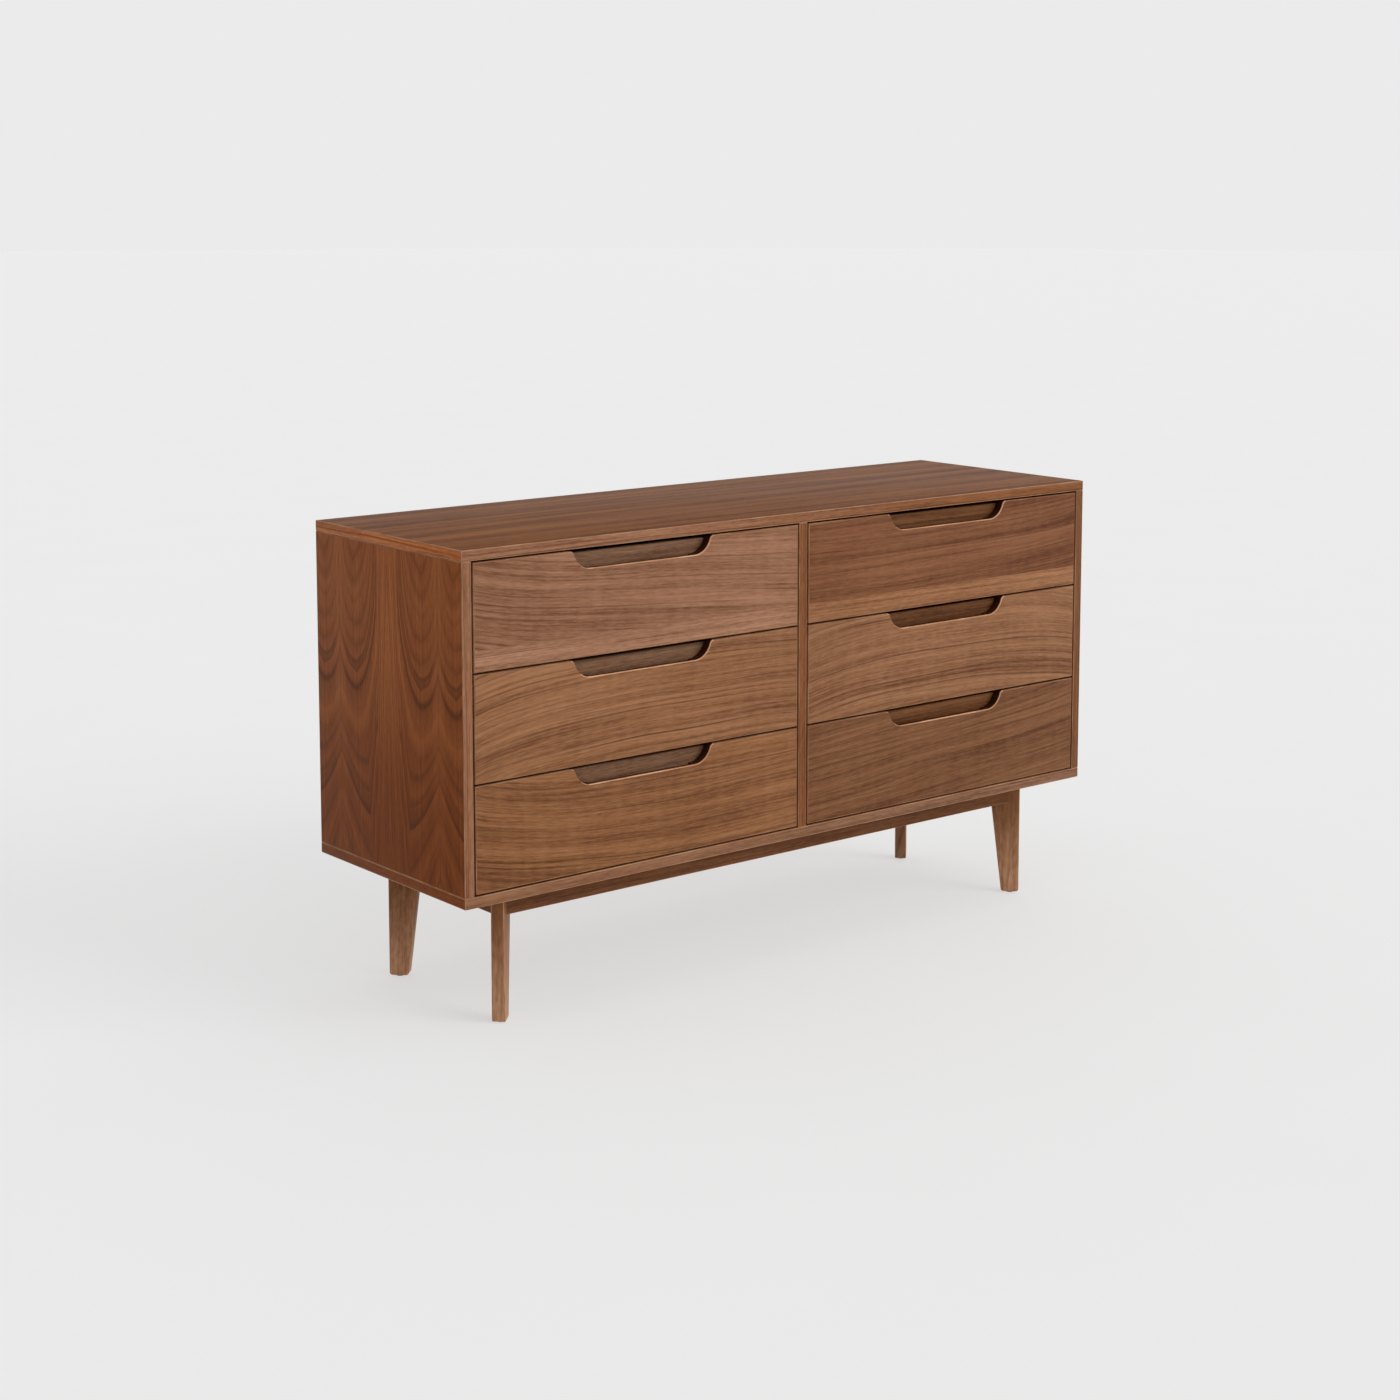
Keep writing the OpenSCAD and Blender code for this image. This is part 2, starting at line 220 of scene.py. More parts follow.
def straight_walnut(
    name, grain, seed, tint=(1.0, 1.0, 1.0), lines=90.0, contrast=1.0, line_strength=1.0, bow=0.012,
    mix=(0.92, 0.81), fade=None, gloss=0.09,
):
    """Walnut with straight grain along the axis named by grain.
    bow is how far the grain wanders, and mix how the rings lie across the two other axes.
    fade is an axis, where along it the colour starts and ends to change, and the tint it changes by; on the
    legs it is painted light, paler towards the feet."""
    finish = Finish(name)
    place = finish.place()
    run = "xyz".index(grain)
    along = place[run]
    first, second = [place[axis] for axis in range(3) if axis != run]
    drift = finish.noise(along * 1.1, (first + second) * 3.0, seed + 1.7, 1.0)
    ring = first * mix[0] + second * mix[1] + (drift - 0.5) * bow * 2.0
    colour, roughness, height = walnut_figure(finish, along, ring, seed, tint, lines, contrast, line_strength)
    if fade:
        axis, begin, end, change = fade
        # The fade multiplies the colour along one axis; on the legs this is painted light.
        colour = finish.multiply_tint(finish.step(place["xyz".index(axis)], begin, end), colour, change)
    return finish.shine(colour, roughness, height, 0.5, **{"Specular IOR Level": gloss})


def edge_band(name, grain, seed, tint, lines, contrast, fade=None):
    """The narrow veneer along a board's edge, with close and nearly straight lines."""
    return straight_walnut(name, grain, seed, tint, lines, contrast, contrast, 0.004, fade=fade)


def worn_and_highlit_arris(name, grain, seed, tint):
    """The eased edge of a board: worn paler here and there, with the finish polished by hands; its paler
    colour is also a painted highlight along the edge.
    """
    finish = Finish(name)
    place = finish.place()
    run = "xyz".index(grain)
    along = place[run]
    other = place[(run + 1) % 3] + place[(run + 2) % 3]
    rub = finish.step(finish.noise(along * 14.0, other * 14.0, seed, 3.0, 0.6), 0.36, 0.66)
    fleck = finish.noise(along * 160.0, other * 160.0, seed + 4.0, 2.0)
    sound = tinted((0.300, 0.140, 0.072), tint)
    # Partly wear and partly painted highlight: the paler colour of the edge.
    rubbed_and_highlit = tinted((0.520, 0.290, 0.165), tint)
    colour = finish.blend(rub * 0.75 + (fleck - 0.5) * 0.3, sound, rubbed_and_highlit)
    return finish.shine(colour, 0.44 - rub * 0.10 + fleck * 0.08, fleck * 0.00004, 0.5, **SATIN)


def front_veneer(name, column_x, low_z, look):
    """Veneer of one drawer front: level grain that bows at the ends of the board."""
    finish = Finish(name)
    x, y, z = finish.place()
    seed = look["seed"]
    half_front = 0.3335
    left = finish.maths("EXPONENT", (x - (column_x - half_front)) * (-1.0 / look["left_reach"]))
    right = finish.maths("EXPONENT", ((column_x + half_front) - x) * (-1.0 / look["right_reach"]))
    swell = finish.noise(x * 2.4, (z - low_z) * 7.0, seed + 21.0, 1.0)
    ring = (z - low_z) + left * look["left_rise"] + right * look["right_rise"] + (swell - 0.5) * look["swell"]
    ring = ring + (x - column_x) * look["slope"]
    ring = ring + y * 0.7
    tint = look["tint"]
    colour, roughness, height = walnut_figure(
        finish, x, ring, seed, tint, look["lines"], look["contrast"], look["line_strength"]
    )
    cloud_x = (x - (column_x + look["cloud_x"])) / look["cloud_w"]
    cloud_z = (ring - look["cloud_z"]) / look["cloud_h"]
    cloud = 1.0 - finish.step(cloud_x * cloud_x + cloud_z * cloud_z, 0.0, 1.0)
    colour = finish.blend(cloud * look["cloud"], colour, tinted((0.135, 0.050, 0.021), tint))
    ripple = finish.noise(x * 46.0, z * 9.0, seed + 31.0, 1.0)
    colour = finish.blend((ripple - 0.42) * 0.35, colour, tinted((0.42, 0.20, 0.10), tint))
    if look["strip"]:
        strip = z < low_z + look["strip"]
        plain, _, _ = walnut_figure(finish, x, z + y, seed + 40.0, look["strip_tint"], 130.0, 0.45, 0.5)
        colour = finish.blend(strip, colour, plain)
    return finish.shine(colour, roughness, height, relief=0.5, **SATIN)


def bookmatched_walnut(name, seams, seed, tint):
    """Veneer leaves set side by side, each the mirror of the next, with arched figure between the seams."""
    finish = Finish(name)
    _, y, z = finish.place()
    first, second = seams
    leaf = finish.maths("MINIMUM", abs(y - first), abs(y - second))
    wobble = finish.noise(z * 3.0, leaf * 14.0, seed, 2.0)
    fall = case_top - z
    spread = finish.step(fall, 0.24, 0.62) * 0.075
    arch = leaf - 0.048 - spread + (wobble - 0.5) * 0.016
    steep = finish.maths("EXPONENT", fall * -6.5) * 1.9 + 0.60
    hollow = arch * arch * steep * 24.5
    wall = (leaf - 0.090 + (wobble - 0.5) * 0.030) * 5.5
    wall = wall + finish.maths("MAXIMUM", leaf - 0.116, 0.0) * 12.0
    rise = finish.maths("SMOOTH_MAX", hollow, wall, 0.02)
    ring = fall + rise + (wobble - 0.5) * 0.02
    pale = tinted((0.250, 0.098, 0.040), tint)
    brown = tinted((0.180, 0.064, 0.024), tint)
    dark = tinted((0.112, 0.037, 0.014), tint)
    streak = tinted((0.050, 0.017, 0.007), tint)
    band = finish.noise(z * 0.6, ring * 16.0, seed + 3.0, 2.0, 0.5)
    strand = finish.noise(z * 2.0, leaf * 180.0, seed + 5.0, 2.0, 0.6)
    fibre = finish.noise(z * 8.0, leaf * 650.0, seed + 7.0, 2.0, 0.6)
    dash = finish.noise(z * 50.0, leaf * 420.0, seed + 8.0, 2.0, 0.6)
    heart = finish.step(leaf, 0.095, 0.135) * (1.0 - finish.step(fall, 0.24, 0.46))
    shade = (band - 0.5) * 1.30 + (strand - 0.5) * 0.75 + (fibre - 0.5) * 0.55
    shade = shade + (dash - 0.5) * 0.80 + heart * 0.20 + 0.48
    body = finish.ramp(shade, [(0.05, dark), (0.50, brown), (0.98, pale)])
    turns = ring * 26.0 + wobble * 1.2
    count = finish.maths("FLOOR", turns)
    phase = finish.maths("FRACT", turns)
    drawn = finish.node("TexWhiteNoise", {"noise_dimensions": "1D"}, {"W": count + seed})
    line = finish.step(phase, 0.30, 0.86) * (1.0 - finish.step(phase, 0.88, 1.0)) * (drawn ** 1.5) * 0.65
    colour = finish.blend(line, body, streak)
    dark_rings = ((0.090, 0.030, 0.30), (0.223, 0.008, 0.55), (0.266, 0.010, 0.62), (0.385, 0.012, 0.30))
    for middle, half_width, depth in dark_rings:
        near = 1.0 - finish.step(abs(ring - middle), 0.0, half_width)
        colour = finish.blend(near * depth, colour, streak)
    cusp = 1.0 - finish.step(leaf, 0.0, 0.024)
    colour = finish.blend(cusp * 0.32, colour, tinted((0.270, 0.108, 0.046), tint))
    seam = 1.0 - finish.step(leaf, 0.0002, 0.0008)
    colour = finish.blend(seam * 0.5, colour, streak)
    pore = finish.step(finish.noise(z * 70.0, leaf * 1400.0, seed + 2.0, 1.0), 0.66, 0.80)
    colour = finish.blend(pore * 0.40, colour, streak)
    # Darker and warmer towards the bottom of the panel.
    colour = finish.multiply_tint(finish.step(fall, 0.10, 0.50), colour, (0.65, 0.54, 0.36))
    roughness = fibre * 0.16 + pore * 0.20 + 0.42
    height = fibre * 0.00006 - pore * 0.00020
    return finish.shine(colour, roughness, height, 0.5, **{"Specular IOR Level": 0.05})


# Other finishes ----------------------------------------------------------

def zinc_steel(name, tone, seed):
    """Zinc-plated sheet steel: rolled along its length, with a faint cloudy bloom."""
    finish = Finish(name)
    x, y, z = finish.place()
    rolled = finish.noise(y * 6.0, z * 2200.0 + x * 1700.0, seed, 2.0)
    bloom = finish.noise(y * 60.0, z * 60.0 + x * 40.0, seed + 2.0, 3.0)
    scratch = finish.step(finish.noise(y * 22.0, z * 900.0, seed + 5.0, 1.0), 0.70, 0.76)
    shade = rolled * 0.35 + bloom * 0.65
    dull = tinted((0.36, 0.37, 0.38), tone)
    bright = tinted((0.62, 0.62, 0.60), tone)
    colour = finish.ramp(shade, [(0.25, dull), (0.75, bright)])
    colour = finish.blend(scratch * 0.5, colour, (0.75, 0.75, 0.74))
    height = rolled * 0.00002 - scratch * 0.00003
    return finish.shine(colour, bloom * 0.22 + rolled * 0.10 + 0.22, height, 0.4, Metallic=1.0)


def pale_wood(name, grain, seed, pale, dark):
    """Birch or beech: close, pale grain with short darker flecks."""
    finish = Finish(name)
    place = finish.place()
    run = "xyz".index(grain)
    along = place[run]
    across = place[(run + 1) % 3] + place[(run + 2) % 3] * 0.8
    band = finish.noise(along * 1.6, across * 26.0, seed, 3.0)
    fibre = finish.noise(along * 14.0, across * 800.0, seed + 4.0, 2.0)
    fleck = finish.step(finish.noise(along * 130.0, across * 900.0, seed + 6.0, 1.0), 0.68, 0.76)
    colour = finish.ramp(band * 0.65 + fibre * 0.35, [(0.3, dark), (0.7, pale)])
    colour = finish.blend(fleck * 0.35, colour, tinted(dark, (0.6, 0.55, 0.5)))
    return finish.shine(colour, fibre * 0.18 + 0.52, fibre * 0.00006 - fleck * 0.0001, 0.5)


def moulded_nylon(name, seed):
    """Dark nylon, matt from the mould and scuffed pale underneath."""
    finish = Finish(name)
    x, y, z = finish.place()
    spark = finish.noise(x * 1900.0, y * 1900.0, seed, 2.0)
    scuff = finish.step(finish.noise(x * 260.0, y * 90.0, seed + 3.0, 3.0), 0.50, 0.75)
    scuff = scuff * (1.0 - finish.step(z, 0.0003, 0.0012))
    colour = finish.blend(scuff * 0.7 + (spark - 0.5) * 0.3, (0.045, 0.034, 0.027), (0.16, 0.14, 0.12))
    return finish.shine(colour, spark * 0.14 + scuff * 0.15 + 0.42, spark * 0.00004, 0.6)


# Modelling ---------------------------------------------------------------

def deselect():
    bpy.ops.object.select_all(action="DESELECT")


def take(piece):
    """Makes piece the only selected object, and the active one."""
    deselect()
    piece.select_set(True)
    bpy.context.view_layer.objects.active = piece


def settle(piece):
    """Moves a piece's place, turn and scale into its mesh."""
    take(piece)
    bpy.ops.object.transform_apply(location=True, rotation=True, scale=True)


def block(name, low, high):
    """A block between two corners, ready to be shaped."""
    deselect()
    bpy.ops.mesh.primitive_cube_add(size=1.0)
    piece = bpy.context.active_object
    piece.name = name
    piece.data.name = name
    piece.scale = Vector(high) - Vector(low)
    piece.location = (Vector(low) + Vector(high)) / 2
    settle(piece)
    return piece


def rod(name, centre, radius, depth, sides=32):
    """An upright round bar with its middle at centre."""
    deselect()
    bpy.ops.mesh.primitive_cylinder_add(vertices=sides, radius=radius, depth=depth, location=centre)
    piece = bpy.context.active_object
    piece.name = name
    settle(piece)
    return piece


def edit(piece):
    take(piece)
    bpy.ops.object.mode_set(mode="EDIT")


def done():
    bpy.ops.object.mode_set(mode="OBJECT")


def pick(piece, kind, test):
    """Selects, in edit mode, the vertices, edges or faces that pass the test."""
    bpy.ops.mesh.select_mode(type=kind)
    bpy.ops.mesh.select_all(action="DESELECT")
    mesh = bmesh.from_edit_mesh(piece.data)
    parts = {"VERT": mesh.verts, "EDGE": mesh.edges, "FACE": mesh.faces}[kind]
    count = 0
    for part in parts:
        if test(part):
            part.select_set(True)
            count += 1
    mesh.select_flush_mode()
    bmesh.update_edit_mesh(piece.data)
    return count


def lies_on(edge, axis, value, near=0.05 * MM):
    """True when both ends of an edge have this value on the axis."""
    return all(abs(vert.co[axis] - value) < near for vert in edge.verts)


def span(edge, axis):
    """How far an edge reaches along the axis."""
    return abs(edge.verts[0].co[axis] - edge.verts[1].co[axis])


def sharp(edge, least=40.0):
    """True for an edge where two faces meet at an angle."""
    return len(edge.link_faces) == 2 and math.degrees(edge.calc_face_angle(0.0)) > least


def ease(piece, radius, test=sharp, segments=3, material=1):
    """Rounds the chosen edges."""
    edit(piece)
    if pick(piece, "EDGE", test):
        bpy.ops.mesh.bevel(
            offset=radius, offset_type="OFFSET", segments=segments, profile=0.5,
            affect="EDGES", clamp_overlap=True, material=material,
        )
    done()
    return piece


def smooth(piece, angle=34.0):
    take(piece)
    bpy.ops.object.shade_smooth_by_angle(angle=math.radians(angle))
    return piece


def cut(piece, cutter, keep=False):
    """Takes the cutter's shape out of piece."""
    take(piece)
    modifier = piece.modifiers.new("cut", "BOOLEAN")
    modifier.operation = "DIFFERENCE"
    modifier.solver = "EXACT"
    modifier.object = cutter
    bpy.ops.object.modifier_apply(modifier=modifier.name)
    if not keep:
        bpy.data.objects.remove(cutter)
    return piece


def join(name, pieces):
    """Joins pieces that are one node into the first of them."""
    deselect()
    for piece in pieces:
        piece.select_set(True)
    bpy.context.view_layer.objects.active = pieces[0]
    if len(pieces) > 1:
        bpy.ops.object.join()
    pieces[0].name = name
    pieces[0].data.name = name
    return pieces[0]


def copy(piece, name, shift=(0.0, 0.0, 0.0), mirrored=False):
    """A copy with its own mesh, moved in its mesh, and mirrored along X first if asked."""
    twin = piece.copy()
    twin.data = piece.data.copy()
    bpy.context.collection.objects.link(twin)
    twin.name = name
    twin.data.name = name
    if mirrored:
        twin.scale = (-1.0, 1.0, 1.0)
    twin.location = shift
    settle(twin)
    if mirrored:
        edit(twin)
        bpy.ops.mesh.select_all(action="SELECT")
        bpy.ops.mesh.normals_make_consistent(inside=False)
        done()
    return twin


def dress(piece, *finishes):
    """Gives piece its finishes in the order of its material slots, which its faces keep."""
    materials = piece.data.materials
    for slot, finish in enumerate(finishes):
        if slot < len(materials):
            materials[slot] = finish
        else:
            materials.append(finish)
    return piece


def paint(piece, slot, test):
    """Puts the faces that pass the test in a material slot."""
    for face in piece.data.polygons:
        if test(face):
            face.material_index = slot


def put(piece, body, slot, *nodes):
    """Sends a finished piece to its body, in place of its CAD nodes; slot is not used."""
    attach(piece, body)
    if nodes:
        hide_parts(*nodes)
    return piece


# Floor, light and camera ---------------------------------------------------

def lay_floor():
    deselect()
    bpy.ops.mesh.primitive_circle_add(vertices=96, radius=40.0, fill_type="NGON")
    floor = bpy.context.active_object
    floor.name = "studio_floor"
    finish = Finish("pale_floor")
    x, y, _ = finish.place()
    grit = finish.noise(x * 3.0, y * 3.0, 1.0, 3.0)
    colour = finish.ramp(grit, [(0.2, (0.345, 0.345, 0.345)), (0.8, (0.355, 0.355, 0.355))])
    glow = {"Specular IOR Level": 0.1, "Emission Color": (1.0, 1.0, 1.0, 1.0), "Emission Strength": 0.531}
    dress(floor, finish.shine(colour, 0.9, **glow))


def light_room():
    """An even pale room, a little darker on the left, and one broad soft light from the front right."""
    paper = 0.831
    world = bpy.data.worlds.new("studio")
    world.use_nodes = True
    nodes = world.node_tree.nodes
    links = world.node_tree.links
    spot = nodes.new("ShaderNodeTexCoord")
    axes = nodes.new("ShaderNodeSeparateXYZ")
    links.new(spot.outputs["Generated"], axes.inputs[0])
    side = nodes.new("ShaderNodeMapRange")
    for name, value in (("From Min", -0.9), ("From Max", 0.9), ("To Min", 0.46), ("To Max", 0.86)):
        side.inputs[name].default_value = value
    links.new(axes.outputs["X"], side.inputs["Value"])
    lit = nodes["Background"]
    lit.inputs["Color"].default_value = (1.0, 1.0, 1.0, 1.0)
    links.new(side.outputs["Result"], lit.inputs["Strength"])
    shown = nodes.new("ShaderNodeBackground")
    shown.inputs["Color"].default_value = (paper, paper, paper, 1.0)
    seen = nodes.new("ShaderNodeLightPath")
    both = nodes.new("ShaderNodeMixShader")
    links.new(seen.outputs["Is Camera Ray"], both.inputs[0])
    links.new(lit.outputs[0], both.inputs[1])
    links.new(shown.outputs[0], both.inputs[2])
    links.new(both.outputs[0], nodes["World Output"].inputs["Surface"])
    bpy.context.scene.world = world
    lamp = bpy.data.lights.new("key_light", "SUN")
    lamp.angle = math.radians(38.0)
    lamp.energy = 1.25
    key = bpy.data.objects.new("key_light", lamp)
    key.rotation_euler = Vector((-0.50, 0.84, -0.46)).to_track_quat("-Z", "Y").to_euler()
    bpy.context.collection.objects.link(key)


def set_camera():
    """The camera stands to the left of the front, a little over the top, and looks slightly down."""
    yaw = 0.6789
    pitch = 0.1213
    lens = bpy.data.cameras.new("camera")
    lens.sensor_width = 36.0
    lens.lens = 64.76
    lens.shift_y = -0.16
    lens.clip_end = 200.0
    camera = bpy.data.objects.new("camera", lens)
    camera.location = (-2.8200, -3.4325, 1.3730)
    look = Vector((math.sin(yaw) * math.cos(pitch), math.cos(yaw) * math.cos(pitch), -math.sin(pitch)))
    camera.rotation_euler = look.to_track_quat("-Z", "Y").to_euler()
    bpy.context.collection.objects.link(camera)
    bpy.context.scene.camera = camera
    bpy.context.scene.view_settings.view_transform = "Standard"


# Case ----------------------------------------------------------------------

def drill_bits(node, extra):
    """The shapes of a node's round pins, a little fatter, to cut their holes with."""
    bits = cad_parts[node].copy()
    bits.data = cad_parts[node].data.copy()
    bpy.context.collection.objects.link(bits)
    bits.parent = None
    bits.name = "bits_" + node
    edit(bits)
    bpy.ops.mesh.select_all(action="SELECT")
    bpy.ops.mesh.remove_doubles(threshold=0.00001)
    bpy.ops.transform.shrink_fatten(value=extra)
    done()
    return bits


def groove_cutter():
    """The space that the back panel and its play take in the boards round it."""
    low = Vector((back_low.x - PLAY, back_low.y, back_low.z - PLAY))
    high = Vector((back_high.x + PLAY, back_high.y + PLAY, back_high.z + PLAY))
    return block("groove", low, high)


def case_board(node, finishes, pins, end_axis):
    """A veneered panel: eased all round, grooved for the back, bored for its dowels.
    Its finishes are the face's, the arris's, the ends' and, on some, the front band's."""
    low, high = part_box(node)
    board = dress(block("board_" + node, low, high), *finishes)
    ease(board, ARRIS)
    ends = (low[end_axis], high[end_axis])
    near = 0.02 * MM
    paint(board, 2, lambda face: min(abs(face.center[end_axis] - end) for end in ends) < near)
    if len(finishes) > 3:
        paint(board, 3, lambda face: face.center.y < low.y + near)
    if high.y > back_high.y:
        cut(board, groove_cutter())
    cut(board, pins, keep=True)
    smooth(board)
    return put(board, "case", "case_veneer", node)


def build_case():
    """The veneered panels, each with a band on its front edge, and the back."""
    pins = drill_bits("dowels", 0.1 * MM)
    arris_x = worn_and_highlit_arris("arris_along", "x", 3.0, (1.0, 1.0, 1.0))
    arris_z = worn_and_highlit_arris("arris_upright", "z", 5.0, (0.86, 0.80, 0.76))
    top_face = straight_walnut(
        "top_veneer", "x", 12.0, (0.81, 0.65, 0.38), 110.0, 1.65, 0.9, 0.010, gloss=0.03
    )
    bottom_face = straight_walnut(
        "bottom_veneer", "x", 17.0, (0.95, 0.93, 0.90), 100.0, 1.0, 0.8, 0.010
    )
    post_face = straight_walnut("divider_veneer", "z", 26.0, (0.95, 0.90, 0.84), 120.0, 0.7, 0.6, 0.006)
    left_face = bookmatched_walnut("left_end_veneer", (-0.150, 0.147), 31.0, (1.55, 1.32, 1.02))
    right_face = bookmatched_walnut("right_end_veneer", (-0.128, 0.139), 37.0, (1.55, 1.32, 1.02))
    right_top = ("x", -0.5, 0.5, (0.74, 0.59, 0.37))
    right_low = ("x", -0.5, 0.5, (1.05, 1.13, 1.24))
    top_front = edge_band("top_front_band", "x", 18.0, (1.14, 1.22, 1.40), 150.0, 0.9, right_top)
    low_front = edge_band("low_front_band", "x", 19.0, (0.84, 0.88, 0.94), 150.0, 0.9, right_low)
    top_end = edge_band("top_end_band", "y", 21.0, (1.57, 1.13, 0.65), 150.0, 0.9)
    low_end = edge_band("low_end_band", "y", 22.0, (0.64, 0.37, 0.14), 150.0, 0.9)
    left_band = edge_band("left_band", "z", 41.0, (1.04, 1.09, 1.18), 130.0, 0.7)
    middle_band = edge_band("middle_band", "z", 42.0, (0.83, 0.70, 0.51), 130.0, 0.7)
    right_band = edge_band("right_band", "z", 43.0, (0.65, 0.60, 0.53), 130.0, 0.7)
    case_board("top_panel", (top_face, arris_x, top_end, top_front), pins, X)
    case_board("bottom_panel", (bottom_face, arris_x, low_end, low_front), pins, X)
    case_board("left_end", (left_face, arris_z, left_band), pins, Y)
    case_board("right_end", (right_face, arris_z, right_band), pins, Y)
    case_board("centre_divider", (post_face, arris_z, middle_band), pins, Y)
    bpy.data.objects.remove(pins)
    ply = straight_walnut("back_ply", "x", 47.0, (1.05, 1.12, 1.15), 60.0, 0.8, 0.5, 0.02)
    back = dress(block("board_back_panel", back_low, back_high), ply, arris_x)
    ease(back, 0.4 * MM)
    smooth(back)
    put(back, "case", "back_ply", "back_panel")


# Base ----------------------------------------------------------------------

def leg_board(node, wood, arris):
    """A tapered leg board set at 45 degrees, from the corner where its outer edge stands."""
    low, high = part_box(node)
    side = -1.0 if low.x < 0 else 1.0
    end = -1.0 if low.y < 0 else 1.0
    thick = 22.0 * MM
    top_width = 54.0 * MM
    foot_width = 33.0 * MM
    toe_round = 5.0 * MM
    foot = low.z
    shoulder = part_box("front_rail")[0].z
    leg = block("leg_" + node, (-top_width, -thick / 2, foot), (0.0, thick / 2, high.z))
    dress(leg, wood, arris)
    edit(leg)
    bpy.ops.mesh.select_all(action="SELECT")
    bpy.ops.mesh.bisect(plane_co=(0.0, 0.0, shoulder), plane_no=(0.0, 0.0, 1.0))
    pick(leg, "VERT", lambda vert: vert.co.z < foot + MM and vert.co.x < -top_width / 2)
    bpy.ops.transform.translate(value=(top_width - foot_width, 0.0, 0.0))
    pick(leg, "EDGE", lambda edge: lies_on(edge, Z, foot) and span(edge, X) < MM)
    bpy.ops.mesh.bevel(offset=toe_round, segments=6, profile=0.5, affect="EDGES")
    done()
    ease(leg, 1.8 * MM, lambda edge: sharp(edge, 60.0) and not lies_on(edge, Z, high.z), 4)
    leg.rotation_euler = (0.0, 0.0, math.atan2(end, side))
    hold = Vector((high.x if side > 0 else low.x, high.y if end > 0 else low.y))
    reach = thick / 2 / math.sqrt(2)
    leg.location = (hold.x - side * reach, hold.y - end * reach, 0.0)
    settle(leg)
    return leg


def rail_board(node, wood, arris):
    """A level rail with both ends mitred against the legs."""
    low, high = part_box(node)
    rail = dress(block("rail_" + node, low, high), wood, arris)
    size = high - low
    run = X if size.x > size.y else Y
    across = Y if run == X else X
    inner = min(low[across], high[across], key=abs)
    edit(rail)
    pick(rail, "VERT", lambda vert: abs(vert.co[across] - inner) < 0.1 * MM)
    shrink = [1.0, 1.0, 1.0]
    shrink[run] = (size[run] - 2 * size[across]) / size[run]
    centre = (low + high) / 2
    bpy.ops.transform.resize(value=shrink, center_override=centre)
    done()
    ease(rail, ARRIS, lambda edge: sharp(edge, 60.0) and span(edge, run) > 0.1)
    return rail


def screw_cutter():
    """The holes of the base screws: a narrow one for the shank and a wide one for the head."""
    drills = []
    rail_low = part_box("front_rail")[0].z
    overcut = 2 * MM
    screws = drill_bits("base_screws", 0.12 * MM)
    edit(screws)
    bpy.ops.mesh.separate(type="LOOSE")
    done()
    shafts = list(bpy.context.selected_objects)
    for shaft in shafts:
        corners = [Vector(corner) for corner in shaft.bound_box]
        low = Vector(map(min, *corners))
        high = Vector(map(max, *corners))
        middle = (low + high) / 2
        depth = low.z - rail_low + overcut
        centre = (middle.x, middle.y, rail_low - overcut + depth / 2)
        radius = (high.x - low.x) / 2 + 0.3 * MM
        drills.append(rod("counterbore", centre, radius, depth))
    return join("screw_drill", shafts + drills)


def build_base():
    """Four legs and four rails, bored for their dowels and screws."""
    plain = dict(lines=85.0, contrast=0.40, line_strength=0.35, bow=0.010, mix=(0.95, 0.35))
    # Painted light: the legs grow paler towards the feet, where the pale floor lights them.
    plain["fade"] = ("z", 0.20, 0.0, (1.95, 2.45, 3.70))
    wood = straight_walnut("leg_walnut", "z", 52.0, (0.78, 0.74, 0.58), **plain)
    # Painted shade: a darker copy of the leg walnut for the back right leg, which stands in shadow.
    painted_shade_leg_wood = straight_walnut("painted_shade_leg_walnut", "z", 53.0, (0.42, 0.39, 0.29), **plain)
    leg_arris = worn_and_highlit_arris("leg_arris", "z", 55.0, (0.90, 0.86, 0.80))
    long_wood = straight_walnut("long_rail_walnut", "x", 57.0, (0.60, 0.54, 0.42), 90.0, 0.7, 0.6, 0.010)
    short_wood = straight_walnut("end_rail_walnut", "y", 59.0, (0.60, 0.54, 0.42), 90.0, 0.7, 0.6, 0.010)
    rail_arris = worn_and_highlit_arris("rail_arris", "x", 61.0, (0.90, 0.86, 0.80))
    pins = drill_bits("dowels", 0.1 * MM)
    drill = screw_cutter()
    for node in ("front_left_leg", "front_right_leg", "back_left_leg", "back_right_leg"):
        timber = painted_shade_leg_wood if node == "back_right_leg" else wood
        leg = cut(leg_board(node, timber, leg_arris), pins, keep=True)
        put(smooth(leg), "case", "base_walnut", node)
    for node in ("front_rail", "back_rail", "left_rail", "right_rail"):
        timber = long_wood if node in ("front_rail", "back_rail") else short_wood
        rail = cut(rail_board(node, timber, rail_arris), pins, keep=True)
        rail = cut(rail, drill, keep=True)
        put(smooth(rail), "case", "base_walnut", node)
    bpy.data.objects.remove(pins)
    bpy.data.objects.remove(drill)


def build_glides():
    """Nylon discs under the feet, round at the rim."""
    low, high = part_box("foot_glides")
    radius = 8.0 * MM
    glides = []
    for x in (low.x + radius, high.x - radius):
        for y in (low.y + radius, high.y - radius):
            disc = rod("glide", (x, y, (low.z + high.z) / 2), radius, high.z - low.z, 40)
            ease(disc, 0.7 * MM, lambda edge: lies_on(edge, Z, low.z), 4, 0)
            glides.append(disc)
    nylon = moulded_nylon("glide_nylon", 3.0)
    glide = join("glides", glides)
    put(smooth(dress(glide, nylon), 50.0), "case", "glide_nylon", "foot_glides")


# Drawers -------------------------------------------------------------------

